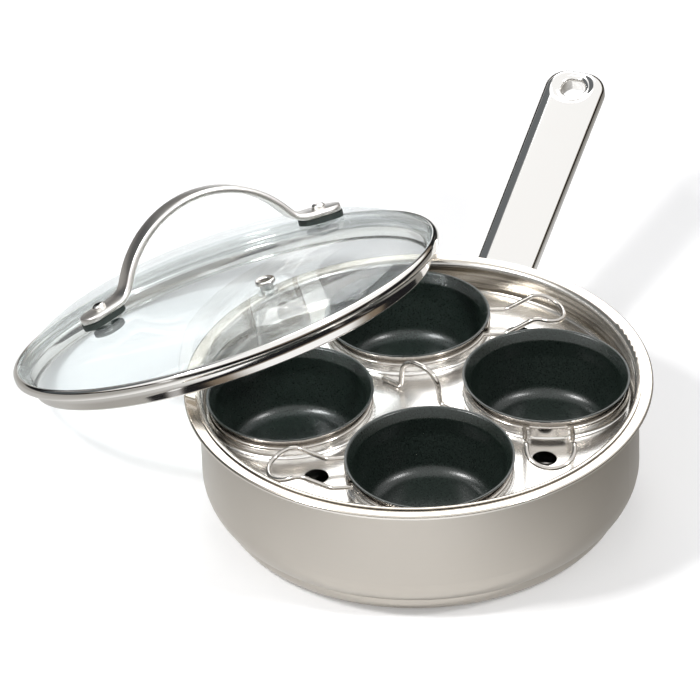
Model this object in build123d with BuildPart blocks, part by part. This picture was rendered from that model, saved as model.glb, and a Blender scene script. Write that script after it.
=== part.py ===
"""Egg poacher pan: a saucepan with a bonded base, a tray holding four egg cups, and a glass lid.

Millimetres. The origin is the centre of the base on the table, +Z is up, and the pan's handle
points along +Y. The lid leans where it was put down: the lowest point of its skirt stands on the
table, and the skirt rests on the pan's rim at two points.
"""
from build123d import *
from math import asin, cos, radians, sin, sqrt
import os

# Pan body: one pressed sheet, with a flared lip whose edge is turned down
rim_radius = 110.0
pan_height = 65.0
body_inner_radius = 102.4
body_sheet = 0.8
body_corner_radius = 15.2
lip_flare_radius = 1.8
lip_edge_radius = 0.9
lip_edge_drop = 1.6

# Bonded base: an aluminium disc, shut in by a steel cap
base_thickness = 5.6
base_cap_sheet = 0.6
base_contact_radius = 88.5
base_edge_radius = 7.6

# Pan handle: a hollow pressed bar, measured at its hanging hole
handle_reach = 234.3
handle_hole_height = 90.3
handle_slope = 17.9
handle_root_width = 28.2
handle_end_width = 30.6
handle_overhang = 11.5
handle_end_corner_radius = 10.4
handle_depth = 11.0
handle_edge_radius = 3.3
handle_sheet = 1.0
hole_radius = 5.9
hole_wall = 2.6
hole_mouth_radius = 2.0

# Bracket that carries the handle, a guess: a saddle on the wall, and a stub inside the handle
bracket_sheet = 1.5
bracket_width = 36.0
bracket_height = 24.0
bracket_corner_radius = 6.0
bracket_stub_length = 18.0
weld_gap = 0.1

# Tray: a shallow dish that hangs from its flange on the pan's lip
tray_sheet = 0.6
tray_gap = 0.35
tray_flange_radius = 104.7
tray_corner_radius = 3.0
floor_drop = 12.0
steam_hole_radius = 5.8
steam_pattern_radius = 75.0
steam_phase = -20.0
steam_hole_count = 4

# Seats: the tray's floor is a shallow dome, so each cup leans out a little
cup_pattern_radius = 59.9
cup_lean = 2.1
cup_phase = 24.2
collar_fillet_radius = 2.2
seat_clearance = 0.5
rest_gap = 0.3

# Lifting loop: a bent wire, welded to the floor between the cups
loop_wire_radius = 1.3
loop_height = 18.0
loop_top_half_width = 10.2
loop_foot_half_span = 12.0
loop_foot_length = 11.0
loop_top_radius = 9.6
loop_foot_radius = 2.6
loop_azimuth = -20.8
loop_offset = 2.7

# Egg cup: a deep drawn shell with a flared mouth, coated inside
cup_rim_radius = 39.3
cup_rim_height = 10.0
cup_lip_width = 0.7
cup_lip_radius = 0.4
cup_mouth_depth = 4.2
cup_mouth_radius = 1.6
cup_wall_radius = 36.4
cup_straight_depth = 12.0
cup_shoulder_radius = 12.0
cup_foot_radius = 31.2
cup_corner_radius = 7.6
cup_depth = 32.5
cup_sheet = 0.6
coating = 0.3

# Cup handle: a ring of wire under the flare that rests on the collar, and a raised loop
wire_radius = 1.15
ring_drop = 5.2
ring_gap = 0.1
arm_half_span = 11.1
arm_level_reach = 46.5
arm_peak_reach = 61.5
arm_peak_rise = 8.6
arm_end_reach = 74.5
arm_end_rise = 4.0
arm_foot_radius = 8.0
arm_peak_radius = 7.0
arm_end_radius = 11.0

# Clip: a strip welded under the flare that hooks over the ring between the arms
clip_sheet = 0.7
clip_gap = 0.15
clip_top_drop = 2.4
clip_bottom_drop = 7.6
clip_bend_radius = 0.9
clip_half_angle = 13.0
dot_radius = 0.9
dot_height = 0.3
dot_drop = 4.2
dot_angle = 10.6

# Each cup stands in its seat turned a little about its own axis, as the photographed ones do
cup_turns = {"right": -4.3, "back": -6.0, "left": 0.0, "front": 0.0}

# Lid: a glass dome in a steel band, measured from the plane of the band's top edge
band_radius = 108.35
skirt_radius = 101.0
ledge_drop = 5.3
skirt_drop = 13.0
band_sheet = 0.5
band_top_width = 2.2
band_edge_radius = 0.9
glass_thickness = 4.0
glass_gap = 0.15
glass_rise = 19.5
crown_radius = 450.0
crown_edge_radius = 78.0
shoulder_foot_radius = 104.4
shoulder_fillet_radius = 4.0

# Where the lid was put down
lid_tilt = 24.1
lid_azimuth = 154.9
table_gap = 0.3

# Lid handle: a bent strap on two rivets, with a pad under each foot
strap_direction = 74.3
rivet_spacing_half = 60.65
strap_sheet = 3.5
strap_width = 12.0
foot_width = 14.6
foot_overhang = 11.0
foot_inset = 13.0
strap_knee_radius = 9.0
strap_top = 53.5
pad_thickness = 2.75
pad_width = 13.4
pad_length = 23.0
rivet_shank_radius = 2.2
rivet_head_radius = 3.4
rivet_head_height = 2.3
rivet_head_rounding = 1.5
rivet_tail_height = 1.4
rivet_clearance = 0.2
glass_hole_radius = 3.0
washer_radius = 8.0
washer_thickness = 1.4

# Vent: an eyelet rolled over the glass on both sides
vent_azimuth = 164.3
vent_reach = 61.0
eyelet_radius = 4.9
eyelet_bore_radius = 2.3
eyelet_sleeve = 0.8
eyelet_flange = 1.9
eyelet_rounding = 0.8
vent_clearance = 0.3

# How far every cut runs on past the faces it opens
overrun = 5.0

os.makedirs("parts", exist_ok=True)


def write(piece, name):
    """Label a finished piece and write it as its own STEP file."""
    piece.part.label = name
    export_step(piece.part, f"parts/{name}.step")


def axis_of(frame):
    """The axis a turned piece spins about in its frame."""
    return Axis(frame.origin, frame.z_dir)


def radial_plane(frame, angle=0.0):
    """The half plane through a frame's axis: x runs outward, at this angle, and y along the axis."""
    outward = frame.x_dir.rotate(Axis(Vector(), frame.z_dir), angle)
    return Plane(origin=frame.origin, x_dir=outward, z_dir=outward.cross(frame.z_dir))


def raised(frame, height):
    """The same frame, moved along its axis."""
    return Plane(origin=frame.origin + frame.z_dir * height, x_dir=frame.x_dir, z_dir=frame.z_dir)


def corner(path, point):
    """The vertex of a line, or of a sketch, that stands at this point."""
    return path.vertices().sort_by_distance(point)[0]


# The table frame: everything of the pan itself is turned about it
ground = Plane(origin=(0, 0, 0), x_dir=(1, 0, 0), z_dir=(0, 0, 1))

# Pan body
body_floor = base_thickness + body_sheet
body_outer_radius = body_inner_radius + body_sheet
with BuildPart() as pan_body:
    with BuildSketch(radial_plane(ground)):
        with BuildLine():
            FilletPolyline(
                (0, body_floor), (body_inner_radius, body_floor), (body_inner_radius, pan_height),
                (rim_radius, pan_height), (rim_radius, pan_height - lip_edge_drop),
                radius=[body_corner_radius, lip_flare_radius, lip_edge_radius])
            offset(amount=body_sheet, side=Side.RIGHT)
        make_face()
    revolve(axis=Axis.Z)
write(pan_body, "pan_body")


def base_block(shrink):
    """The base's outline drawn in by the cap's sheet or by nothing, up to the body's own bottom."""
    block_radius = base_contact_radius + base_edge_radius - shrink
    with BuildPart() as block:
        with BuildSketch(radial_plane(ground)):
            with BuildLine():
                FilletPolyline((0, shrink), (block_radius, shrink), (block_radius, body_corner_radius),
                               radius=base_edge_radius - shrink)
                Polyline((block_radius, body_corner_radius), (0, body_corner_radius), (0, shrink))
            make_face()
        revolve(axis=Axis.Z)
        with BuildSketch(radial_plane(ground)):
            with BuildLine():
                FilletPolyline((0, base_thickness), (body_outer_radius, base_thickness),
                               (body_outer_radius, pan_height), radius=body_corner_radius + body_sheet)
                Polyline((body_outer_radius, pan_height), (0, pan_height), (0, base_thickness))
            make_face()
        revolve(axis=Axis.Z, mode=Mode.SUBTRACT)
    return block.part


with BuildPart() as base_core:
    add(base_block(base_cap_sheet))
write(base_core, "base_core")

with BuildPart() as base_cap:
    add(base_block(0))
    add(base_core.part, mode=Mode.SUBTRACT)
write(base_cap, "base_cap")

# Pan handle, drawn on its top face: x across, y outward up the slope, z off the face
handle_face = Plane(origin=(0, handle_reach, handle_hole_height), x_dir=(1, 0, 0),
                    z_dir=(0, -sin(radians(handle_slope)), cos(radians(handle_slope))))
handle_root = -handle_reach / cos(radians(handle_slope))
saddle_radius = body_outer_radius + weld_gap + bracket_sheet


def handle_bar(shrink):
    """The handle's bar, drawn in on every side by the sheet or by nothing, up to the saddle."""
    root_half = handle_root_width / 2 - shrink
    end_half = handle_end_width / 2 - shrink
    tip = handle_overhang - shrink
    edge_radius = handle_edge_radius - shrink
    with BuildPart() as bar:
        with BuildSketch(raised(handle_face, -shrink)) as outline:
            Polygon((-root_half, handle_root), (root_half, handle_root), (end_half, 0), (end_half, tip),
                    (-end_half, tip), (-end_half, 0), align=None)
            fillet(outline.vertices().group_by(Axis.Y)[-1], radius=handle_end_corner_radius - shrink)
        extrude(amount=-(handle_depth - 2 * shrink))
        faces_across = bar.faces().filter_by(Plane(origin=(0, 0, 0), z_dir=handle_face.z_dir))
        fillet(faces_across.edges().filter_by(lambda edge: (edge @ 0.5).Y > 0), radius=edge_radius)
    return bar.part


def wall_block(radius):
    """A full height cylinder about the pan's axis, to trim pieces to the wall."""
    with BuildPart() as block:
        with BuildSketch(Plane.XY.offset(-overrun)):
            Circle(radius)
        extrude(amount=handle_hole_height + 2 * overrun)
    return block.part


with BuildPart() as pan_handle:
    add(handle_bar(0))
    add(handle_bar(handle_sheet), mode=Mode.SUBTRACT)
    with BuildSketch(handle_face):
        Circle(hole_radius + hole_wall)
    extrude(amount=-handle_depth)
    with BuildSketch(raised(handle_face, overrun)):
        Circle(hole_radius)
    extrude(amount=-(handle_depth + 2 * overrun), mode=Mode.SUBTRACT)
    mouths = pan_handle.edges().filter_by(GeomType.CIRCLE).filter_by(
        lambda edge: abs(edge.radius - hole_radius) < weld_gap)
    fillet(mouths, radius=hole_mouth_radius)
    add(wall_block(saddle_radius + weld_gap), mode=Mode.SUBTRACT)
write(pan_handle, "pan_handle")

# Bracket
saddle_centre = handle_face.from_local_coords((0, handle_root + saddle_radius, -handle_depth / 2)).Z
with BuildPart() as handle_stub:
    add(handle_bar(handle_sheet + weld_gap))
    add(wall_block(saddle_radius + bracket_stub_length), mode=Mode.INTERSECT)
with BuildPart() as handle_bracket:
    with BuildSketch(Plane.XZ):
        with Locations((0, saddle_centre)):
            RectangleRounded(bracket_width, bracket_height, bracket_corner_radius)
    extrude(amount=-(saddle_radius + overrun))
    add(wall_block(saddle_radius), mode=Mode.INTERSECT)
    add(handle_stub.part)
    add(wall_block(body_outer_radius + weld_gap), mode=Mode.SUBTRACT)
write(handle_bracket, "handle_bracket")

# The tray's floor is part of a sphere whose centre lies under the pan
dome_radius = cup_pattern_radius / sin(radians(cup_lean))
floor_height = pan_height - floor_drop
dome_centre = floor_height - sqrt(dome_radius ** 2 - cup_pattern_radius ** 2)


def dome_height(radius):
    """Height of the floor's top at this distance from the pan's axis."""
    return dome_centre + sqrt(dome_radius ** 2 - radius ** 2)


def dome_sag(radius):
    """How far the floor falls away at this distance from a seat's own axis."""
    return dome_radius - sqrt(dome_radius ** 2 - radius ** 2)


def seat_frame(azimuth):
    """A cup's seat: the origin on the floor, z along the cup, x to where its handle points."""
    out = Vector(cos(radians(azimuth)), sin(radians(azimuth)), 0)
    up = Vector(0, 0, cos(radians(cup_lean))) + out * sin(radians(cup_lean))
    place = out * cup_pattern_radius + Vector(0, 0, floor_height)
    return Plane(origin=place, x_dir=out.rotate(Axis.Z, -90), z_dir=up)


seats = {name: seat_frame(cup_phase + 90 * index) for index, name in enumerate(cup_turns)}

# Tray
tray_wall_radius = body_inner_radius - tray_gap - tray_sheet
flange_top = pan_height + tray_gap + tray_sheet
collar_radius = cup_wall_radius + seat_clearance
collar_outer_radius = collar_radius + tray_sheet
collar_foot_radius = collar_outer_radius + collar_fillet_radius
ring_height = cup_rim_height - ring_drop
collar_height = ring_height - wire_radius - rest_gap
with BuildPart() as egg_tray:
    with BuildSketch(radial_plane(ground)):
        with BuildLine() as dish:
            floor_line = ThreePointArc((0, dome_height(0)),
                                       (tray_wall_radius / 2, dome_height(tray_wall_radius / 2)),
                                       (tray_wall_radius, dome_height(tray_wall_radius)))
            wall_line = Line(floor_line @ 1, (tray_wall_radius, flange_top))
            Line(wall_line @ 1, (tray_flange_radius, flange_top))
            fillet(corner(dish, floor_line @ 1), radius=tray_corner_radius)
            fillet(corner(dish, wall_line @ 1), radius=lip_flare_radius + tray_gap + tray_sheet)
            offset(amount=tray_sheet, side=Side.RIGHT)
        make_face()
    revolve(axis=Axis.Z)
    for seat in seats.values():
        with BuildSketch(raised(seat, overrun)):
            Circle(collar_foot_radius)
        extrude(amount=-2 * overrun, mode=Mode.SUBTRACT)
        foot = -dome_sag(collar_foot_radius)
        with BuildSketch(radial_plane(seat)):
            with BuildLine():
                FilletPolyline((collar_radius, collar_height), (collar_radius, foot - tray_sheet),
                               (collar_foot_radius, foot - tray_sheet),
                               radius=collar_fillet_radius + tray_sheet - weld_gap)
                Line((collar_foot_radius, foot - tray_sheet), (collar_foot_radius, foot))
                FilletPolyline((collar_foot_radius, foot), (collar_outer_radius, foot),
                               (collar_outer_radius, collar_height), radius=collar_fillet_radius - weld_gap)
                Line((collar_outer_radius, collar_height), (collar_radius, collar_height))
            make_face()
        revolve(axis=axis_of(seat))
    with BuildSketch(Plane.XY.offset(floor_height - overrun)):
        with PolarLocations(steam_pattern_radius, steam_hole_count, start_angle=steam_phase):
            Circle(steam_hole_radius)
    extrude(amount=2 * overrun, mode=Mode.SUBTRACT)
write(egg_tray, "egg_tray")

# Lifting loop
loop_along = Vector(cos(radians(loop_azimuth)), sin(radians(loop_azimuth)), 0)
loop_plane = Plane(origin=(0, loop_offset, dome_height(0)), x_dir=loop_along,
                   z_dir=loop_along.cross(Vector(0, 0, 1)))
loop_end = loop_foot_half_span + loop_foot_length
with BuildPart() as lifting_loop:
    with BuildLine(loop_plane) as bend:
        FilletPolyline(
            (-loop_end, loop_wire_radius), (-loop_foot_half_span, loop_wire_radius),
            (-loop_top_half_width, loop_height), (loop_top_half_width, loop_height),
            (loop_foot_half_span, loop_wire_radius), (loop_end, loop_wire_radius),
            radius=[loop_foot_radius, loop_top_radius, loop_top_radius, loop_foot_radius])
    route = bend.wire()
    with BuildSketch(Plane(origin=route @ 0, z_dir=route % 0)):
        Circle(loop_wire_radius)
    sweep()
write(lifting_loop, "lifting_loop")


def cup_section(frame, depth_in):
    """Half section of the cup's sheet, from its outside to this far in."""
    with BuildSketch(radial_plane(frame)) as section:
        with BuildLine():
            FilletPolyline(
                (0, cup_rim_height - cup_depth), (cup_foot_radius, cup_rim_height - cup_depth),
                (cup_wall_radius, cup_rim_height - cup_straight_depth),
                (cup_wall_radius, cup_rim_height - cup_mouth_depth),
                (cup_rim_radius - cup_lip_width, cup_rim_height), (cup_rim_radius, cup_rim_height),
                radius=[cup_corner_radius, cup_shoulder_radius, cup_mouth_radius, cup_lip_radius])
            offset(amount=depth_in, side=Side.LEFT)
        make_face()
    return section.sketch


def cup_shell(frame):
    """The drawn steel shell of a cup."""
    with BuildPart() as shell:
        add(cup_section(frame, cup_sheet))
        revolve(axis=axis_of(frame))
    return shell


def cup_coating(frame, shell):
    """The dark coating: it lines the shell and stops at the lip."""
    with BuildPart() as lining:
        add(cup_section(frame, cup_sheet + coating))
        revolve(axis=axis_of(frame))
        add(shell.part, mode=Mode.SUBTRACT)
        with BuildSketch(raised(frame, cup_rim_height)):
            Circle(cup_rim_radius + overrun)
        extrude(amount=overrun, mode=Mode.SUBTRACT)
    return lining


def cup_handle(frame):
    """The ring of wire round the cup, and the raised loop welded to it."""
    ring_radius = cup_wall_radius + ring_gap + wire_radius
    root = sqrt(ring_radius ** 2 - arm_half_span ** 2)
    side = [(root, ring_height), (arm_level_reach, ring_height),
            (arm_peak_reach, ring_height + arm_peak_rise), (arm_end_reach, ring_height + arm_end_rise)]
    out = [frame.from_local_coords((x, -arm_half_span, z)) for x, z in side]
    back = [frame.from_local_coords((x, arm_half_span, z)) for x, z in reversed(side)]
    bends = [arm_foot_radius, arm_peak_radius, arm_end_radius]
    with BuildPart() as handle:
        with BuildLine() as bend:
            FilletPolyline(*out, *back, radius=bends + bends[::-1])
        route = bend.wire()
        with BuildSketch(Plane(origin=route @ 0, z_dir=route % 0)):
            Circle(wire_radius)
        sweep()
        with BuildSketch(radial_plane(frame)):
            with Locations((ring_radius, ring_height)):
                Circle(wire_radius)
        revolve(axis=axis_of(frame))
    return handle


def cup_clip(frame):
    """The strip that hooks over the ring, with its two weld dots."""
    ring_outer = cup_wall_radius + ring_gap + 2 * wire_radius
    face_radius = ring_outer + clip_gap + clip_sheet
    top = cup_rim_height - clip_top_drop
    cone_share = (cup_mouth_depth - clip_top_drop) / cup_mouth_depth
    root = cup_wall_radius + weld_gap + cone_share * (cup_rim_radius - cup_lip_width - cup_wall_radius)
    with BuildPart() as clip:
        with BuildSketch(radial_plane(frame, -clip_half_angle)):
            with BuildLine():
                FilletPolyline((root, top), (face_radius, top),
                               (face_radius, cup_rim_height - clip_bottom_drop), radius=clip_bend_radius)
                offset(amount=clip_sheet, side=Side.RIGHT)
            make_face()
        revolve(axis=axis_of(frame), revolution_arc=2 * clip_half_angle)
        for angle in (-dot_angle, dot_angle):
            spoke = radial_plane(frame, angle)
            middle = spoke.from_local_coords((face_radius - clip_sheet / 2, cup_rim_height - dot_drop))
            with BuildSketch(Plane(origin=middle, x_dir=frame.z_dir, z_dir=spoke.x_dir)):
                Circle(dot_radius)
            extrude(amount=clip_sheet / 2 + dot_height)
    return clip


# The four cups, each in its seat
for name, seat in seats.items():
    cup_frame = Plane(origin=seat.origin, x_dir=seat.x_dir.rotate(Axis(Vector(), seat.z_dir), cup_turns[name]),
                      z_dir=seat.z_dir)
    shell = cup_shell(cup_frame)
    write(shell, f"cup_{name}")
    write(cup_coating(cup_frame, shell), f"cup_{name}_coating")
    write(cup_handle(cup_frame), f"cup_{name}_handle")
    write(cup_clip(cup_frame), f"cup_{name}_clip")

# Where the lid lies: its skirt's lower edge just clears the rim's outer edge at two points, and
# its lowest point just clears the table. The two points are this far down the lid from its centre
tilt = radians(lid_tilt)
contact_down = (pan_height + rest_gap - table_gap) / sin(tilt) - skirt_radius
contact_side = sqrt(skirt_radius ** 2 - contact_down ** 2)
skirt_reach = contact_down * cos(tilt) + sqrt(rim_radius ** 2 - contact_side ** 2)
skirt_height = table_gap + skirt_radius * sin(tilt)
away = Vector(cos(radians(lid_azimuth)), sin(radians(lid_azimuth)), 0)
lid_up = away * sin(tilt) + Vector(0, 0, cos(tilt))
lid_down_slope = away * cos(tilt) - Vector(0, 0, sin(tilt))
lid = Plane(origin=away * skirt_reach + Vector(0, 0, skirt_height) + lid_up * skirt_drop,
            x_dir=lid_down_slope, z_dir=lid_up)


def crown_height(radius):
    """Height of the glass's top over the band's top edge, inside the crown."""
    return glass_rise - crown_radius + sqrt(crown_radius ** 2 - radius ** 2)


def glass_frame(azimuth, radius):
    """A frame on top of the glass: z stands square off it, x runs down the dome."""
    spoke = radial_plane(lid, azimuth)
    lean = asin(radius / crown_radius)
    normal = spoke.y_dir * cos(lean) + spoke.x_dir * sin(lean)
    downhill = spoke.x_dir * cos(lean) - spoke.y_dir * sin(lean)
    return Plane(origin=spoke.from_local_coords((radius, crown_height(radius))), x_dir=downhill, z_dir=normal)


rivet_frames = [glass_frame(strap_direction + turn, rivet_spacing_half) for turn in (0, 180)]
vent_frame = glass_frame(vent_azimuth, vent_reach)

# Lid band
with BuildPart() as lid_band:
    with BuildSketch(radial_plane(lid)):
        with BuildLine():
            FilletPolyline(
                (band_radius - band_top_width, 0), (band_radius, 0), (band_radius, -ledge_drop),
                (skirt_radius, -ledge_drop), (skirt_radius, -skirt_drop), radius=band_edge_radius)
            offset(amount=band_sheet, side=Side.RIGHT)
        make_face()
    revolve(axis=axis_of(lid))
write(lid_band, "lid_band")

# Lid glass
glass_edge_radius = band_radius - band_sheet - glass_gap
glass_edge_top = glass_thickness + glass_gap + band_sheet - ledge_drop
with BuildPart() as lid_glass:
    with BuildSketch(radial_plane(lid)):
        with BuildLine() as glass_line:
            crown = ThreePointArc((0, glass_rise), (crown_edge_radius / 2, crown_height(crown_edge_radius / 2)),
                                  (crown_edge_radius, crown_height(crown_edge_radius)))
            shoulder = TangentArc(crown @ 1, (shoulder_foot_radius, glass_edge_top), tangent=crown % 1)
            Line(shoulder @ 1, (glass_edge_radius, glass_edge_top))
            offset(amount=glass_thickness, side=Side.RIGHT)
        glass_section = make_face()
        fillet(corner(glass_section, (shoulder_foot_radius, glass_edge_top)), radius=shoulder_fillet_radius)
    revolve(axis=axis_of(lid))
    for frame, radius in [(rivet_frame, glass_hole_radius) for rivet_frame in rivet_frames] + [
            (vent_frame, eyelet_bore_radius + eyelet_sleeve + vent_clearance)]:
        with BuildSketch(raised(frame, overrun)):
            Circle(radius)
        extrude(amount=-(glass_thickness + 2 * overrun), mode=Mode.SUBTRACT)
write(lid_glass, "lid_glass")

# Vent eyelet
sleeve_radius = eyelet_bore_radius + eyelet_sleeve
with BuildPart() as vent_eyelet:
    with BuildSketch(radial_plane(vent_frame)) as eyelet_section:
        with Locations((eyelet_bore_radius, weld_gap)):
            Rectangle(eyelet_radius - eyelet_bore_radius, eyelet_flange, align=(Align.MIN, Align.MIN))
        with Locations((eyelet_bore_radius, -glass_thickness - weld_gap)):
            Rectangle(eyelet_radius - eyelet_bore_radius, eyelet_flange, align=(Align.MIN, Align.MAX))
        with Locations((eyelet_bore_radius, -glass_thickness / 2)):
            Rectangle(eyelet_sleeve, glass_thickness + 2 * eyelet_flange, align=(Align.MIN, Align.CENTER))
        ends = eyelet_section.vertices().group_by(Axis.Y)
        fillet(ends[0] + ends[-1], radius=eyelet_rounding)
    revolve(axis=axis_of(vent_frame))
write(vent_eyelet, "vent_eyelet")

# Pads, washers and rivets, one of each at either foot
grip = pad_thickness + strap_sheet
under_glass = -glass_thickness - weld_gap - washer_thickness
with BuildPart() as handle_pads:
    for frame in rivet_frames:
        with BuildSketch(frame):
            SlotOverall(pad_length, pad_width)
            Circle(rivet_shank_radius + rivet_clearance, mode=Mode.SUBTRACT)
        extrude(amount=pad_thickness)
write(handle_pads, "handle_pads")

with BuildPart() as lid_washers:
    for frame in rivet_frames:
        with BuildSketch(raised(frame, under_glass)):
            Circle(washer_radius)
            Circle(rivet_shank_radius + rivet_clearance, mode=Mode.SUBTRACT)
        extrude(amount=washer_thickness)
write(lid_washers, "lid_washers")

with BuildPart() as lid_rivets:
    for frame in rivet_frames:
        with BuildSketch(radial_plane(frame)) as rivet_section:
            Polygon((0, grip + rivet_head_height), (rivet_head_radius, grip + rivet_head_height),
                    (rivet_head_radius, grip), (rivet_shank_radius, grip),
                    (rivet_shank_radius, under_glass), (rivet_head_radius, under_glass),
                    (rivet_head_radius, under_glass - rivet_tail_height),
                    (0, under_glass - rivet_tail_height), align=None)
            fillet(corner(rivet_section, (rivet_head_radius, grip + rivet_head_height)), radius=rivet_head_rounding)
        revolve(axis=axis_of(frame))
write(lid_rivets, "lid_rivets")

# Lid handle: its side view gives the bend, and its plan gives the width
strap_plane = radial_plane(lid, strap_direction)
foot_lean = asin(rivet_spacing_half / crown_radius)
foot_centre = (rivet_spacing_half + grip * sin(foot_lean), crown_height(rivet_spacing_half) + grip * cos(foot_lean))
foot_end = (foot_centre[0] + foot_overhang * cos(foot_lean), foot_centre[1] - foot_overhang * sin(foot_lean))
knee = (foot_centre[0] - foot_inset * cos(foot_lean), foot_centre[1] + foot_inset * sin(foot_lean))
with BuildPart() as lid_handle:
    with BuildSketch(strap_plane):
        with BuildLine() as strap_line:
            near_foot = Line(foot_end, knee)
            arch = ThreePointArc(knee, (0, strap_top + strap_sheet / 2), (-knee[0], knee[1]))
            Line(arch @ 1, (-foot_end[0], foot_end[1]))
            fillet(corner(strap_line, arch @ 0), radius=strap_knee_radius)
            fillet(corner(strap_line, arch @ 1), radius=strap_knee_radius)
            offset(amount=strap_sheet, side=Side.LEFT)
        make_face()
    extrude(amount=foot_width / 2, both=True)
    with BuildSketch(lid):
        with Locations(Location((0, 0, 0), (0, 0, strap_direction))):
            Rectangle(2 * foot_end[0], strap_width)
            with Locations((foot_centre[0], 0), (-foot_centre[0], 0)):
                SlotOverall(2 * foot_overhang + weld_gap, foot_width)
    extrude(amount=strap_top + overrun, mode=Mode.INTERSECT)
    for frame in rivet_frames:
        with BuildSketch(raised(frame, pad_thickness - overrun)):
            Circle(rivet_shank_radius + rivet_clearance)
        extrude(amount=strap_sheet + 2 * overrun, mode=Mode.SUBTRACT)
write(lid_handle, "lid_handle")
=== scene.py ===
"""Egg poacher pan, dressed for its picture: satin and polished steel, dark lined cups and a glass lid.

Metres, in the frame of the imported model: the centre of the base on the table is the origin, +Z is
up and the pan's handle points along +Y. New pieces are worked out in millimetres.
"""
import math

import bmesh
import bpy
import numpy as np
from mathutils import Matrix, Vector


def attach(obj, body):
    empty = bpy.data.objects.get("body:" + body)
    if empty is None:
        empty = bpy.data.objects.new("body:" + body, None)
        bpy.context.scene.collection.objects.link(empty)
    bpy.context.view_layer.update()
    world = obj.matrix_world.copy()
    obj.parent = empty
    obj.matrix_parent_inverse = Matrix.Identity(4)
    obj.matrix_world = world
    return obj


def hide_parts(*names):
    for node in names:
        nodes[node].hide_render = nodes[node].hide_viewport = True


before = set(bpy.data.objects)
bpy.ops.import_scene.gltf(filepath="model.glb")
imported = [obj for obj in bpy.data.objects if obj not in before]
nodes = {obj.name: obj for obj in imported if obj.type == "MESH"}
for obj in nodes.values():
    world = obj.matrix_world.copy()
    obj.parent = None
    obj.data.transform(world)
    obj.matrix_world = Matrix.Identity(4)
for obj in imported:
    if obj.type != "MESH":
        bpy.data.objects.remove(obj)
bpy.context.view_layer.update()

millimetre = 0.001
upright = (0.0, 0.0, 1.0)
cup_names = ("right", "back", "left", "front")


class Wire:
    """The value of a socket. Arithmetic on it adds Math nodes to the same tree."""

    def __init__(self, web, socket):
        self.web, self.socket = web, socket

    def maths(self, operation, *values):
        return self.web.node("ShaderNodeMath", {"operation": operation}, dict(enumerate((self, *values))))

    def __add__(self, other):
        return self.maths("ADD", other)

    def __sub__(self, other):
        return self.maths("SUBTRACT", other)

    def __mul__(self, other):
        return self.maths("MULTIPLY", other)

    def __truediv__(self, other):
        return self.maths("DIVIDE", other)

    def __rsub__(self, other):
        return self.web.node("ShaderNodeMath", {"operation": "SUBTRACT"}, {0: other, 1: self})

    __radd__ = __add__
    __rmul__ = __mul__


class Web:
    """A node tree, with the few patterns that the finishes and the surroundings share."""

    def __init__(self, tree, coordinates):
        self.tree = tree
        self.point = self.node("ShaderNodeTexCoord", output=coordinates)

    def node(self, kind, settings=None, inputs=None, output=0):
        """Adds a node of this type: its settings first, then the values or wires of its sockets."""
        made = self.tree.nodes.new(kind)
        for name, value in (settings or {}).items():
            setattr(made, name, value)
        for name, value in (inputs or {}).items():
            self.feed(made.inputs[name], value)
        return Wire(self, made.outputs[output])

    def feed(self, socket, value):
        if isinstance(value, Wire):
            self.tree.links.new(value.socket, socket)
        else:
            socket.default_value = value

    def vector(self, operation, first, second, output=0):
        return self.node("ShaderNodeVectorMath", {"operation": operation}, {0: first, 1: second}, output)

    def along(self, axis, origin=(0, 0, 0)):
        """How far a point lies from the origin along an axis: their difference times the axis."""
        return self.vector("DOT_PRODUCT", self.vector("SUBTRACT", self.point, origin), axis, "Value")

    def off_axis(self, axis, origin=(0, 0, 0)):
        """How far a point lies off an axis: the length of the difference crossed with the axis."""
        crossed = self.vector("CROSS_PRODUCT", self.vector("SUBTRACT", self.point, origin), axis)
        return self.node("ShaderNodeVectorMath", {"operation": "LENGTH"}, {0: crossed}, "Value")

    def noise(self, per_metre, detail=2.0, roughness=0.5, point=None):
        """Soft noise, zero to one, with about this many changes a metre along x, y and z."""
        stretched = self.vector("MULTIPLY", point or self.point, per_metre)
        return self.node("ShaderNodeTexNoise", {}, {"Vector": stretched, "Scale": 1.0, "Detail": detail,
                                                    "Roughness": roughness}, "Fac")

    def brushed(self, axes, per_metre, detail=3.0):
        """Noise along three axes of its own, each with its own count a metre."""
        sides = {name: self.along(axis) for name, axis in zip("XYZ", axes)}
        turned = self.node("ShaderNodeCombineXYZ", {}, sides)
        return self.noise(per_metre, detail, point=turned)

    def step(self, value, low, high):
        """Zero below low, one above high, and an S curve between."""
        return self.node("ShaderNodeMapRange", {"interpolation_type": "SMOOTHSTEP"},
                         {"Value": value, "From Min": low, "From Max": high})

    def band(self, value, low, high, soft):
        """One between low and high, falling to zero over a soft edge on both sides."""
        return self.step(value, low - soft, low) * (1 - self.step(value, high, high + soft))

    def mix(self, share, first, second):
        """A colour between two, by this share."""
        return self.node("ShaderNodeMix", {"data_type": "RGBA"}, {0: share, 6: first, 7: second}, 2)

    def rays(self, *kinds):
        """One for rays of any of these kinds, and zero for the rest."""
        found = self.node("ShaderNodeLightPath", output=kinds[0])
        for kind in kinds[1:]:
            found = found.maths("MAXIMUM", self.node("ShaderNodeLightPath", output=kind))
        return found


def shade(red, green, blue):
    return (red, green, blue, 1.0)


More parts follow.
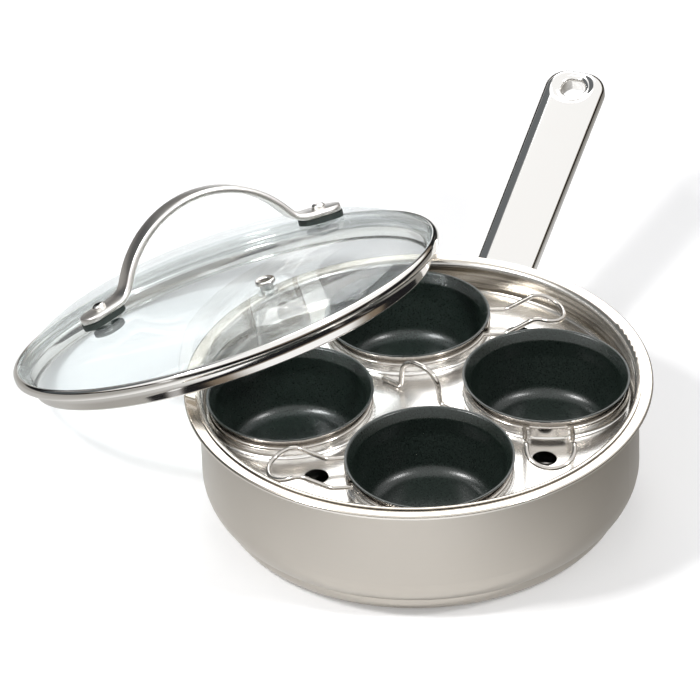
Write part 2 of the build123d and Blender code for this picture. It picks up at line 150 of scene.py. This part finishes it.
class Finish(Web):
    """The material of some pieces: a Principled shader and what varies over the surface."""

    def __init__(self, name, colour, metallic, roughness, **fixed):
        self.material = bpy.data.materials.new(name)
        self.material.use_nodes = True
        super().__init__(self.material.node_tree, "Object")
        self.shader = self.tree.nodes["Principled BSDF"]
        self.set(Metallic=metallic, **{"Base Color": colour, "Roughness": roughness}, **fixed)

    def set(self, **sockets):
        for name, value in sockets.items():
            self.feed(self.shader.inputs[name.replace("_", " ")], value)

    def relief(self, height, depth):
        """Turns a height of zero to one into a relief this many metres deep."""
        self.set(Normal=self.node("ShaderNodeBump", {}, {"Height": height, "Distance": depth,
                                                         "Strength": 1.0}, "Normal"))

    def dress(self, *names):
        for name in names:
            piece = nodes[name]
            piece.data.materials.clear()
            piece.data.materials.append(self.material)


# New pieces. Sizes in millimetres; a grid of points becomes a mesh in metres
def skin(name, *grids):
    """One smooth mesh over several grids of points, rows by columns by x, y, z. A grid's point at a
    row and a column has the number row * columns + column, on from the last grid's, and each face
    joins a point to its next column, both in the next row, and back. Shared points are welded, and
    points that fall together close a pole."""
    points, faces, used = [], [], 0
    for grid in grids:
        rows, columns = grid.shape[:2]
        number = used + np.arange(rows * columns).reshape(rows, columns)
        faces.append(np.stack((number[:-1, :-1], number[:-1, 1:], number[1:, 1:], number[1:, :-1]), axis=-1))
        points.append(grid.reshape(-1, 3) * millimetre)
        used += rows * columns
    mesh = bpy.data.meshes.new(name)
    mesh.from_pydata(np.concatenate(points).tolist(), [],
                     np.concatenate([patch.reshape(-1, 4) for patch in faces]).tolist())
    made = bmesh.new()
    made.from_mesh(mesh)
    bmesh.ops.remove_doubles(made, verts=made.verts, dist=0.002 * millimetre)
    bmesh.ops.dissolve_degenerate(made, edges=made.edges, dist=0.001 * millimetre)
    bmesh.ops.recalc_face_normals(made, faces=made.faces)
    made.to_mesh(mesh)
    made.free()
    mesh.shade_smooth()
    piece = bpy.data.objects.new(name, mesh)
    bpy.context.scene.collection.objects.link(piece)
    return piece


def stands_for(piece, node, body, finish):
    """Dresses a new piece, and lets it ride and show in place of the CAD node."""
    piece.data.materials.append(finish.material)
    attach(piece, body)
    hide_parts(node)


def rounded(points, radii, steps=8):
    """A polyline whose inner corners are arcs: centre at radius / sin(half the corner's angle) along
    its bisector, and points spread evenly between the two tangent points."""
    line = [np.array(points[0], float)]
    for before, at, after, radius in zip(points, points[1:], points[2:], radii):
        at = np.array(at, float)
        back, ahead = (side / np.linalg.norm(side) for side in (np.array(before) - at, np.array(after) - at))
        half = math.acos(back @ ahead) / 2
        bisector = (back + ahead) / np.linalg.norm(back + ahead)
        centre = at + bisector * radius / math.sin(half)
        start, end = (at + side * radius / math.tan(half) - centre for side in (back, ahead))
        turn = math.pi - 2 * half
        for share in np.linspace(0, 1, steps + 1):
            arm = math.sin((1 - share) * turn) * start + math.sin(share * turn) * end
            line.append(centre + arm / math.sin(turn))
    line.append(np.array(points[-1], float))
    return np.array(line)


def to_the_left(line):
    """Unit normals on the left of a plane line: its direction (x, y), turned to (-y, x)."""
    run = np.gradient(line, axis=0)
    run /= np.linalg.norm(run, axis=1)[:, None]
    return np.stack((-run[:, 1], run[:, 0]), axis=1)


def revolved(profile, origin, axis, steps=128):
    """Radius and height turned about an axis: origin + r (u cos t + v sin t) + h axis."""
    axis = np.array(axis)
    first = np.cross(axis, upright if abs(axis[2]) < 0.9 else (1.0, 0.0, 0.0))
    first /= np.linalg.norm(first)
    turn = np.linspace(0, 2 * math.pi, steps + 1)
    spokes = np.outer(np.cos(turn), first) + np.outer(np.sin(turn), np.cross(axis, first))
    radius, height = np.asarray(profile).T
    return np.array(origin) + radius[:, None, None] * spokes + height[:, None, None] * axis


def smooth_step(value, low, high):
    """Zero below low, one above high, and s^2 (3 - 2 s) of the share s between."""
    share = np.clip((value - low) / (high - low), 0, 1)
    return share * share * (3 - 2 * share)


# Finishes
warm_steel = shade(0.56, 0.515, 0.455)
cool_steel = shade(0.47, 0.45, 0.415)
mirror_steel = shade(0.83, 0.81, 0.785)
pale_steel = shade(0.93, 0.915, 0.89)
# a tan tone for painted reflections on the pan's lip and the tray's flange
painted_tan_reflection = shade(0.66, 0.615, 0.55)
wire_steel = shade(0.62, 0.59, 0.55)

# Satin outer wall and base, with fine turned lines, and a polished inside and lip; the lip's tan tone is a
# painted reflection. The sheet's inside is where it faces up or towards the axis: outward, less upward,
# is below zero there
satin_end = (62.6 * millimetre, 63.4 * millimetre)
lip_start = (63.0 * millimetre, 64.6 * millimetre)
satin = Finish("satin_steel", warm_steel, 1.0, 0.3)
reach, level = satin.off_axis(upright), satin.along(upright)
lathe_marks = satin.node("ShaderNodeCombineXYZ", {}, {"X": reach, "Z": level})
turned = satin.noise((2600.0, 1.0, 2600.0), 4.0, 0.6, lathe_marks)
clouds = satin.noise((9.0, 9.0, 14.0), 3.0)
facing = satin.node("ShaderNodeNewGeometry", output="Normal")
spoke = satin.vector("MULTIPLY", satin.point, (1.0, 1.0, 0.0))
outward = satin.vector("DOT_PRODUCT", facing, spoke, "Value") / reach
upward = satin.vector("DOT_PRODUCT", facing, upright, "Value")
inside = 1 - satin.step(outward - upward, -0.1, 0.1)
bright = satin.step(level, *satin_end).maths("MAXIMUM", inside)
lip = satin.step(level, *lip_start)
satin_colour = satin.mix(turned * 0.5 + clouds * 0.4, cool_steel, warm_steel)
# painted reflection: the lip turns from mirror steel to a tan tone, as if it mirrored brown surroundings
bright_colour = satin.mix(lip, mirror_steel, painted_tan_reflection)
satin_roughness = 0.34 + (turned - 0.5) * 0.16
bright_roughness = 0.09 + lip * 0.08
satin.set(Base_Color=satin.mix(bright, satin_colour, bright_colour),
          Roughness=satin_roughness * (1 - bright) + bright_roughness * bright)
satin.relief(turned * (1 - bright), 0.010 * millimetre)
satin.dress("pan_body", "base_cap")

# Polished steel: a little haze, and the waviness of pressed sheet
polished = Finish("polished_steel", pale_steel, 1.0, 0.07)
haze = polished.noise((55.0, 55.0, 55.0), 4.0)
polished.set(Roughness=0.05 + haze * 0.08)
polished.relief(polished.noise((70.0, 70.0, 70.0), 1.0), 0.05 * millimetre)
polished.dress("handle_bracket", "vent_eyelet", "lid_rivets")

# Wires and clips: drawn wire, a little duller and greyer
wire = Finish("wire_steel", wire_steel, 1.0, 0.14)
wire.set(Roughness=0.10 + wire.noise((120.0, 120.0, 120.0), 3.0) * 0.08)
wire.dress("lifting_loop", *(f"cup_{name}_{part}" for name in cup_names for part in ("handle", "clip")))

# The tray's sheet is wavier between the cups; the brown streaks on its wall and the tan on its flange are
# painted reflections
wall_reach = (98.0 * millimetre, 101.0 * millimetre)
wall_end = (62.5 * millimetre, 64.5 * millimetre)
flange_start = (64.6 * millimetre, 65.6 * millimetre)
pressed = Finish("pressed_steel", mirror_steel, 1.0, 0.07)
ripple = pressed.noise((26.0, 26.0, 26.0), 2.0)
tray_level = pressed.along(upright)
wall_share = pressed.step(pressed.off_axis(upright), *wall_reach) * (1 - pressed.step(tray_level, *wall_end))
reflection_streaks = pressed.noise((14.0, 14.0, 420.0), 3.0)
# painted reflection: dark and pale brown streaks down the tray's wall, as if it mirrored brown surroundings
streaked_painted_reflection = pressed.mix(pressed.step(reflection_streaks, 0.35, 0.65),
                         shade(0.20, 0.175, 0.14), shade(0.62, 0.585, 0.53))
floor_colour = pressed.mix(pressed.step(tray_level, *flange_start), pale_steel, painted_tan_reflection)
pressed.set(Base_Color=pressed.mix(wall_share, floor_colour, streaked_painted_reflection),
            Roughness=0.20 + pressed.noise((60.0, 60.0, 60.0), 4.0) * 0.08)
pressed.relief(ripple, 0.12 * millimetre)
pressed.dress("egg_tray")

# Cup shells: drawn steel with lines round the cup
drawn = Finish("drawn_steel", mirror_steel, 1.0, 0.12)
lines = drawn.noise((40.0, 40.0, 2600.0), 3.0)
drawn.set(Roughness=0.1 + lines * 0.1)
drawn.relief(lines, 0.006 * millimetre)
drawn.dress(*(f"cup_{name}" for name in cup_names))

# Nonstick coating: near black with a green cast, and the fine grain of a sprayed film
coating = Finish("dark_coating", shade(0.02, 0.03, 0.026), 0.0, 0.3, **{"Specular IOR Level": 0.7})
grain = coating.noise((1500.0, 1500.0, 1500.0), 2.0)
coating.set(Base_Color=coating.mix(coating.step(grain, 0.35, 0.65), shade(0.004, 0.008, 0.006),
                                   shade(0.018, 0.028, 0.023)),
            Roughness=0.23 + grain * 0.12)
coating.relief(grain, 0.05 * millimetre)

# The lid's own frame: its origin in the plane of the band's top edge, square to the lid
lid_origin = Vector((-118.734, 55.619, 53.408)) * millimetre
lid_normal = Vector((-0.36977, 0.17321, 0.91283))
lid_down = Vector((-0.82663, 0.38722, -0.40833))
strap_angle = math.radians(74.3)
strap_along = Matrix.Rotation(strap_angle, 3, lid_normal) @ lid_down
strap_across = lid_normal.cross(strap_along)

# Lid strap: brushed along its length
strap = Finish("strap_steel", shade(0.74, 0.72, 0.69), 1.0, 0.28)
brush = strap.brushed((strap_along, strap_across, lid_normal), (25.0, 2200.0, 60.0))
strap.set(Base_Color=strap.mix(brush, shade(0.80, 0.78, 0.75), shade(0.95, 0.93, 0.90)),
          Roughness=0.24 + brush * 0.14)
strap.relief(brush, 0.008 * millimetre)

# The base's core: plain rolled aluminium
core = Finish("core_aluminium", shade(0.75, 0.76, 0.78), 1.0, 0.4)
core.set(Roughness=0.35 + core.noise((300.0, 300.0, 300.0)) * 0.1)
core.dress("base_core")

# Pads and washers: dark rubber with a faint bloom
pad = Finish("dark_pad", shade(0.02, 0.03, 0.026), 0.0, 0.6)
bloom = pad.noise((500.0, 500.0, 500.0), 3.0)
pad.set(Base_Color=pad.mix(bloom, shade(0.014, 0.022, 0.019), shade(0.035, 0.048, 0.042)))
pad.relief(bloom, 0.02 * millimetre)
pad.dress("handle_pads", "lid_washers")

# Glass: clear, with a faint green body. A share of it lets rays straight through, which softens what
# it mirrors, and shadow rays pass whole, so that the cups beneath stay lit
straight_through = 0.76
glass = Finish("clear_glass", shade(0.90, 0.94, 0.945), 0.0, 0.0, IOR=1.5, **{"Transmission Weight": 1.0})
open_glass = glass.node("ShaderNodeBsdfTransparent", {}, {"Color": shade(0.945, 0.962, 0.966)})
open_share = glass.rays("Is Shadow Ray").maths("MAXIMUM", straight_through)
both = glass.node("ShaderNodeMixShader", {}, {0: open_share, 1: Wire(glass, glass.shader.outputs[0]),
                                              2: open_glass})
glass.tree.links.new(both.socket, glass.tree.nodes["Material Output"].inputs["Surface"])
glass.dress("lid_glass")


def handle_grids():
    """The hollow handle's skin, in three grids: the bar, its end with the hanging hole, and the end's
    side. On its top face x runs across, y up the slope from the hole and z off the face. With d the
    distance from the outline, the top lies at -(R - sqrt(R^2 - (R - k d)^2)) while k d is below the
    shoulder's radius R, less a crown of c (x / half width)^2 and a dimple round the hole. The
    underside lies at U - sqrt(U^2 - (U - d)^2) over the depth, by its own radius U."""
    slope, reach, height, depth = math.radians(17.9), 234.3, 90.3, 11.0
    axis_half, end_half, wall = 14.1, 15.3, 104.9
    shoulder, easing, under, crown = 4.6, 0.66, 3.3, 0.8
    hole, mouth, dimple, flat_rim, dimple_edge = 5.9, 2.0, 1.3, -0.3, 3.8
    tip, corner, split, root, far_back = 11.5, 10.4, -24.0, -135.0, -160.0
    columns, bar_rows, end_rows, mouth_rows = 41, 40, 40, 8

    def half_width(y):
        return np.interp(y, (-reach / math.cos(slope), 0), (axis_half, end_half))

    turn = np.linspace(0, math.pi / 2, 24)
    round_end = np.stack((end_half - corner + corner * np.cos(turn),
                          tip - corner + corner * np.sin(turn)), axis=1)
    side = np.linspace(split, 0, 12)
    right_side = np.concatenate((np.stack((half_width(side), side), axis=1), round_end))
    outline = np.concatenate((right_side, (right_side * (-1, 1))[::-1]))
    long_side = np.array([(half_width(far_back), far_back)])
    edge = np.concatenate((long_side, outline, long_side * (-1, 1)))

    def from_edge(x, y):
        start, run = edge[:-1], np.diff(edge, axis=0)
        length = (run ** 2).sum(axis=1)
        point = np.stack((x, y), axis=-1)[..., None, :] - start
        share = np.clip((point * run).sum(axis=-1) / np.maximum(length, 1e-9), 0, 1)
        return np.sqrt(((point - share[..., None] * run) ** 2).sum(axis=-1).min(axis=-1))

    def drop(distance, radius):
        inner = np.clip(radius - distance, 0, radius)
        return radius - np.sqrt(radius ** 2 - inner ** 2)

    def top(x, y):
        bowl = dimple * (1 - smooth_step(np.hypot(x, y), hole + mouth + flat_rim, hole + mouth + dimple_edge))
        return -drop(from_edge(x, y) * easing, shoulder) - crown * (x / end_half) ** 2 - bowl

    def underside(x, y):
        return drop(from_edge(x, y), under) - depth

    def placed(x, y, z):
        return np.stack((x, reach + y * math.cos(slope) - z * math.sin(slope),
                         height + y * math.sin(slope) + z * math.cos(slope)), axis=-1)

    # The bar: closed sections from the wall to the split line
    across = np.sin(np.linspace(-math.pi / 2, math.pi / 2, columns))
    share = np.linspace(0, 1, bar_rows)[:, None]
    nominal = root + (split - root) * share
    x = across * half_width(nominal)
    faces = []
    for face in (top, underside):
        z = face(x, np.broadcast_to(nominal, x.shape))
        start = (np.sqrt(wall ** 2 - x ** 2) - reach + z * math.sin(slope)) / math.cos(slope)
        faces.append(placed(x, start + (split - start) * share, z))
    bar = np.concatenate((faces[0], faces[1][:, ::-1], faces[0][:, :1]), axis=1)

    # The end: rings from the outline in to the hole, down its wall and out again underneath
    closing = np.stack((across * half_width(split), np.full(columns, split)), axis=1)
    loop = np.concatenate((outline, closing[1:]))
    rim = loop / np.linalg.norm(loop, axis=1)[:, None]
    mouth_edge = rim * (hole + mouth)
    shares = (1 - np.cos(np.linspace(0, math.pi, end_rows))) / 2
    flat = [loop + (mouth_edge - loop) * share for share in shares]
    rings = [placed(*ring.T, top(*ring.T)) for ring in flat]
    bends = np.linspace(0, math.pi / 2, mouth_rows)
    for bend in bends[1:]:
        ring = rim * (hole + mouth * (1 - math.sin(bend)))
        rings.append(placed(*ring.T, top(*mouth_edge.T) - mouth * (1 - math.cos(bend))))
    for bend in bends[::-1]:
        ring = rim * (hole + mouth * (1 - math.sin(bend)))
        rings.append(placed(*ring.T, np.full(len(ring), mouth * (1 - math.cos(bend)) - depth)))
    rings += [placed(*ring.T, underside(*ring.T)) for ring in flat[::-1][1:]]
    count = len(outline)
    side_wall = np.stack((rings[0][:count], rings[-1][:count]))
    return bar, np.array(rings), side_wall


stands_for(skin("handle_skin", *handle_grids()), "pan_handle", "pan", polished)


def strap_grid():
    """The bent strap. Its top runs from a foot's end over the knee along an arc to the other foot, and
    a moving average rounds the knees. With s the distance from a foot's end, half the width is
    sqrt(f^2 - (f - s)^2) in the half round of radius f, then f, and an S curve takes it to the
    strap's. The section is a rounded oblong of corner r: (half width - r) sign(cos t) + r cos t
    across, and (half sheet - r) sign(sin t) + r sin t off the lid."""
    foot_end, knee, top = (72.39, 20.11), (48.61, 23.34), 55.25
    sheet, foot_half, strap_half, edge = 3.5, 7.3, 6.0, 1.45
    foot_length, neck_length, spacing, window, least = 17.0, 27.0, 0.25, 17, 0.02
    radius = (knee[0] ** 2 + (top - knee[1]) ** 2) / (2 * (top - knee[1]))
    lean = math.asin(knee[0] / radius)
    swing = np.linspace(lean, -lean, 160)
    arc = np.stack((radius * np.sin(swing), top - radius + radius * np.cos(swing)), axis=1)
    line = np.concatenate(([foot_end], arc, [(-foot_end[0], foot_end[1])]))
    travel = np.concatenate(([0], np.cumsum(np.linalg.norm(np.diff(line, axis=0), axis=1))))
    even = np.arange(0, travel[-1], spacing)
    path = np.stack([np.interp(even, travel, side) for side in line.T], axis=1)
    kernel = np.full(2 * window + 1, 1 / (2 * window + 1))
    beyond = np.arange(window, 0, -1)[:, None]
    for _ in range(2):                         # rounds the knees
        before = path[0] + (path[0] - path[1]) * beyond
        after = path[-1] + (path[-1] - path[-2]) * beyond[::-1]
        padded = np.concatenate((before, path, after))
        path = np.stack([np.convolve(side, kernel, "valid") for side in padded.T], axis=1)
    from_end = np.minimum(even, even[-1] - even)
    half = strap_half + (foot_half - strap_half) * (1 - smooth_step(from_end, foot_length, neck_length))
    tongue = np.sqrt(np.maximum(foot_half ** 2 - (foot_half - np.minimum(from_end, foot_half)) ** 2, least))
    half = np.minimum(half, tongue)
    middle = path + to_the_left(path) * sheet / 2
    out = -to_the_left(path)
    turn = np.linspace(0, 2 * math.pi, 41)
    corner = np.minimum(edge, half * 0.98)[:, None]
    across = (half[:, None] - corner) * np.sign(np.round(np.cos(turn), 6)) + corner * np.cos(turn)
    up = (sheet / 2 - corner) * np.sign(np.round(np.sin(turn), 6)) + corner * np.sin(turn)
    along_strap, across_strap, off_lid = (np.array(axis) for axis in (strap_along, strap_across, lid_normal))
    place = middle[:, None] + out[:, None] * up[..., None]
    grid = (np.array(lid_origin) / millimetre + place[..., :1] * along_strap + place[..., 1:] * off_lid
            + across[..., None] * across_strap)
    caps = [np.repeat(grid[end].mean(axis=0)[None], len(turn), axis=0)[None] for end in (0, -1)]
    return np.concatenate((caps[0], grid, caps[1]))


stands_for(skin("strap_skin", strap_grid()), "lid_handle", "lid", strap)

# Lid band, as radius and height over the band's top: a rounded bead round the glass's edge, a step,
# and a skirt that ends in a rolled hem. Its back lies one sheet inside, and not beyond the bead
band_sheet, back_limit = 0.45, 107.9
bead = ((105.6, 0.0), (108.35, 0.0), (108.35, -5.3))
skirt = ((101.0, -5.5), (100.7, -9.0), (101.1, -12.4))
hem = ((100.9, -13.0), (99.7, -13.0), (99.7, -11.6))
band_line = rounded(bead + skirt + hem, (2.1, 2.1, 1.2, 9.0, 0.5, 0.25, 0.5))
band_back = band_line[::-1] + to_the_left(band_line)[::-1] * -band_sheet
band_back[:, 0] = np.minimum(band_back[:, 0], back_limit)
band_grid = revolved(np.concatenate((band_line, band_back, band_line[:1])), np.array(lid_origin) / millimetre,
                     lid_normal, 256)
stands_for(skin("band_skin", band_grid), "lid_band", "lid", polished)

# Coatings, as radius and height over the seat: each lines its cup as the solid does, and runs on
# over the lip to its outer edge, which the solid doesn't. The film thins as it turns over the lip
seat_radius, seat_height, first_seat, seat_lean = 59.9, 53.0, 24.2, 2.1
film_back, film_front, thinning = 0.5, 0.9, 0.22
cup_corners = ((0.0, -22.5), (31.2, -22.5), (36.4, -2.0), (36.4, 5.8), (38.6, 10.0), (39.3, 10.0))
lip_line = np.array(((39.38, 10.66), (39.42, 10.45), (39.40, 10.2), (39.2, 10.3)))
cup_line = rounded(cup_corners, (7.6, 12.0, 1.6, 0.4), 12)
inward = to_the_left(cup_line)
film = film_front - thinning * smooth_step(cup_line[:, 1], 9.0, 10.0)[:, None]
cup_profile = np.concatenate((cup_line + inward * film, lip_line, (cup_line + inward * film_back)[::-1]))
cup_profile[:, 0] = np.maximum(cup_profile[:, 0], 0)
for turn, name in enumerate(cup_names):
    azimuth, cup_lean = math.radians(first_seat + 90 * turn), math.radians(seat_lean)
    out_x, out_y = math.cos(azimuth), math.sin(azimuth)
    cup_axis = (out_x * math.sin(cup_lean), out_y * math.sin(cup_lean), math.cos(cup_lean))
    seat = (seat_radius * out_x, seat_radius * out_y, seat_height)
    lining = skin(f"lining_{name}", revolved(cup_profile, seat, cup_axis))
    stands_for(lining, f"cup_{name}_coating", f"cup_{name}_body", coating)


# Surroundings: a pale table in a plain white room. What metal mirrors is set apart, for glossy rays
# only, and the camera never sees it: painted shade on the table towards its sides, a dark belt
# near the horizon and a dark flank on the left
def disc(name, radius, height, steps=96):
    """A flat round sheet: one face on a ring, x = r cos t and y = r sin t, at this height."""
    turn = np.linspace(0, 2 * math.pi, steps, endpoint=False)
    ring = np.stack((radius * np.cos(turn), radius * np.sin(turn), np.full(steps, height)), axis=1)
    mesh = bpy.data.meshes.new(name)
    mesh.from_pydata(ring.tolist(), [], [tuple(range(steps))])
    sheet = bpy.data.objects.new(name, mesh)
    bpy.context.scene.collection.objects.link(sheet)
    return sheet


pale_table, mirrored_table_shade = shade(0.9, 0.9, 0.9), shade(0.16, 0.15, 0.13)
table = disc("table", 0.7, 0.0)
table_finish = Finish("pale_table", pale_table, 0.0, 0.9,
                      **{"Emission Strength": 0.22, "Specular IOR Level": 0.0})
# painted shade: for glossy rays only the table darkens towards its right and left, so the pan's wall mirrors
# it darker there
sideways = table_finish.along((0.94, 0.34, 0.0))
right_side = table_finish.step(sideways, 0.0, 0.22) * 0.95
left_side = (1 - table_finish.step(sideways, -0.29, -0.04)) * 0.85
darkened = (right_side + left_side) * table_finish.rays("Is Glossy Ray")
table_colour = table_finish.mix(darkened, pale_table, mirrored_table_shade)
glowing = table_finish.rays("Is Camera Ray", "Is Glossy Ray", "Is Transmission Ray")
table_finish.set(Base_Color=table_colour,
                 Emission_Color=table_finish.mix(glowing, shade(0.0, 0.0, 0.0), table_colour))
table.data.materials.append(table_finish.material)

# The room: white to the camera and through the glass, white with dark parts to glossy rays, and an
# even fill to the rest. Heights and the flank's direction are on the unit sphere round the pan
plain_white, even_fill = shade(1.0, 1.0, 1.0), shade(0.42, 0.42, 0.43)
world = bpy.data.worlds.new("white_room")
bpy.context.scene.world = world
world.use_nodes = True
world.node_tree.nodes.clear()
room = Web(world.node_tree, "Generated")
height = room.along(upright)
patches = room.step(room.noise((2.4, 2.4, 4.0), 1.0), 0.26, 0.42)
brown_belt = room.band(height, -0.30, 0.22, 0.10) * patches
black_belt = room.band(height, -0.20, 0.14, 0.05) * patches
flank = room.step(room.along((-0.847, 0.180, 0.5)), 0.855, 0.885) * 0.93
mirrored = room.mix(brown_belt, plain_white, shade(0.20, 0.155, 0.11))
mirrored = room.mix(black_belt, mirrored, shade(0.012, 0.012, 0.013))
mirrored = room.mix(flank, mirrored, shade(0.075, 0.085, 0.092))
around = room.mix(room.rays("Is Glossy Ray"), even_fill, mirrored)
around = room.mix(room.rays("Is Camera Ray", "Is Transmission Ray"), around, plain_white)
lit = room.node("ShaderNodeBackground", {}, {"Color": around, "Strength": 1.0})
room.tree.links.new(lit.socket, room.tree.nodes.new("ShaderNodeOutputWorld").inputs["Surface"])


def softbox(name, azimuth, elevation, distance, size, watts):
    """A square lamp that looks at the pan from this direction."""
    turn, lift = math.radians(azimuth), math.radians(elevation)
    toward = Vector((math.cos(turn) * math.cos(lift), math.sin(turn) * math.cos(lift), math.sin(lift)))
    lamp = bpy.data.lights.new(name, "AREA")
    lamp.size, lamp.energy = size, watts
    box = bpy.data.objects.new(name, lamp)
    facing_pan = toward.to_track_quat("Z", "Y").to_matrix().to_4x4()
    box.matrix_world = Matrix.Translation(toward * distance) @ facing_pan
    box.visible_camera = False
    bpy.context.scene.collection.objects.link(box)


softbox("softbox_left", azimuth=-136, elevation=52, distance=1.6, size=0.24, watts=13.0)
softbox("softbox_right", azimuth=-10, elevation=50, distance=1.6, size=0.22, watts=7.5)
softbox("softbox_back", azimuth=111, elevation=40, distance=1.8, size=0.9, watts=5.0)

# Camera: placed by matching the rim, the cups and the outline to the picture
picture_width, focal_length = 700, 6109.5      # in pixels
camera = bpy.data.cameras.new("camera")
camera.sensor_width = 36.0
camera.lens = focal_length / picture_width * camera.sensor_width
camera.clip_end = 50.0
viewer = bpy.data.objects.new("camera", camera)
right, up, back = (0.94067, 0.33778, -0.03248), (-0.16282, 0.53325, 0.83017), (0.29773, -0.77562, 0.5565)
standpoint = Vector((819.15, -2221.36, 1669.91)) * millimetre
viewer.matrix_world = Matrix.Translation(standpoint) @ Matrix((right, up, back)).transposed().to_4x4()
bpy.context.scene.collection.objects.link(viewer)
bpy.context.scene.camera = viewer
bpy.context.scene.view_settings.view_transform = "Standard"
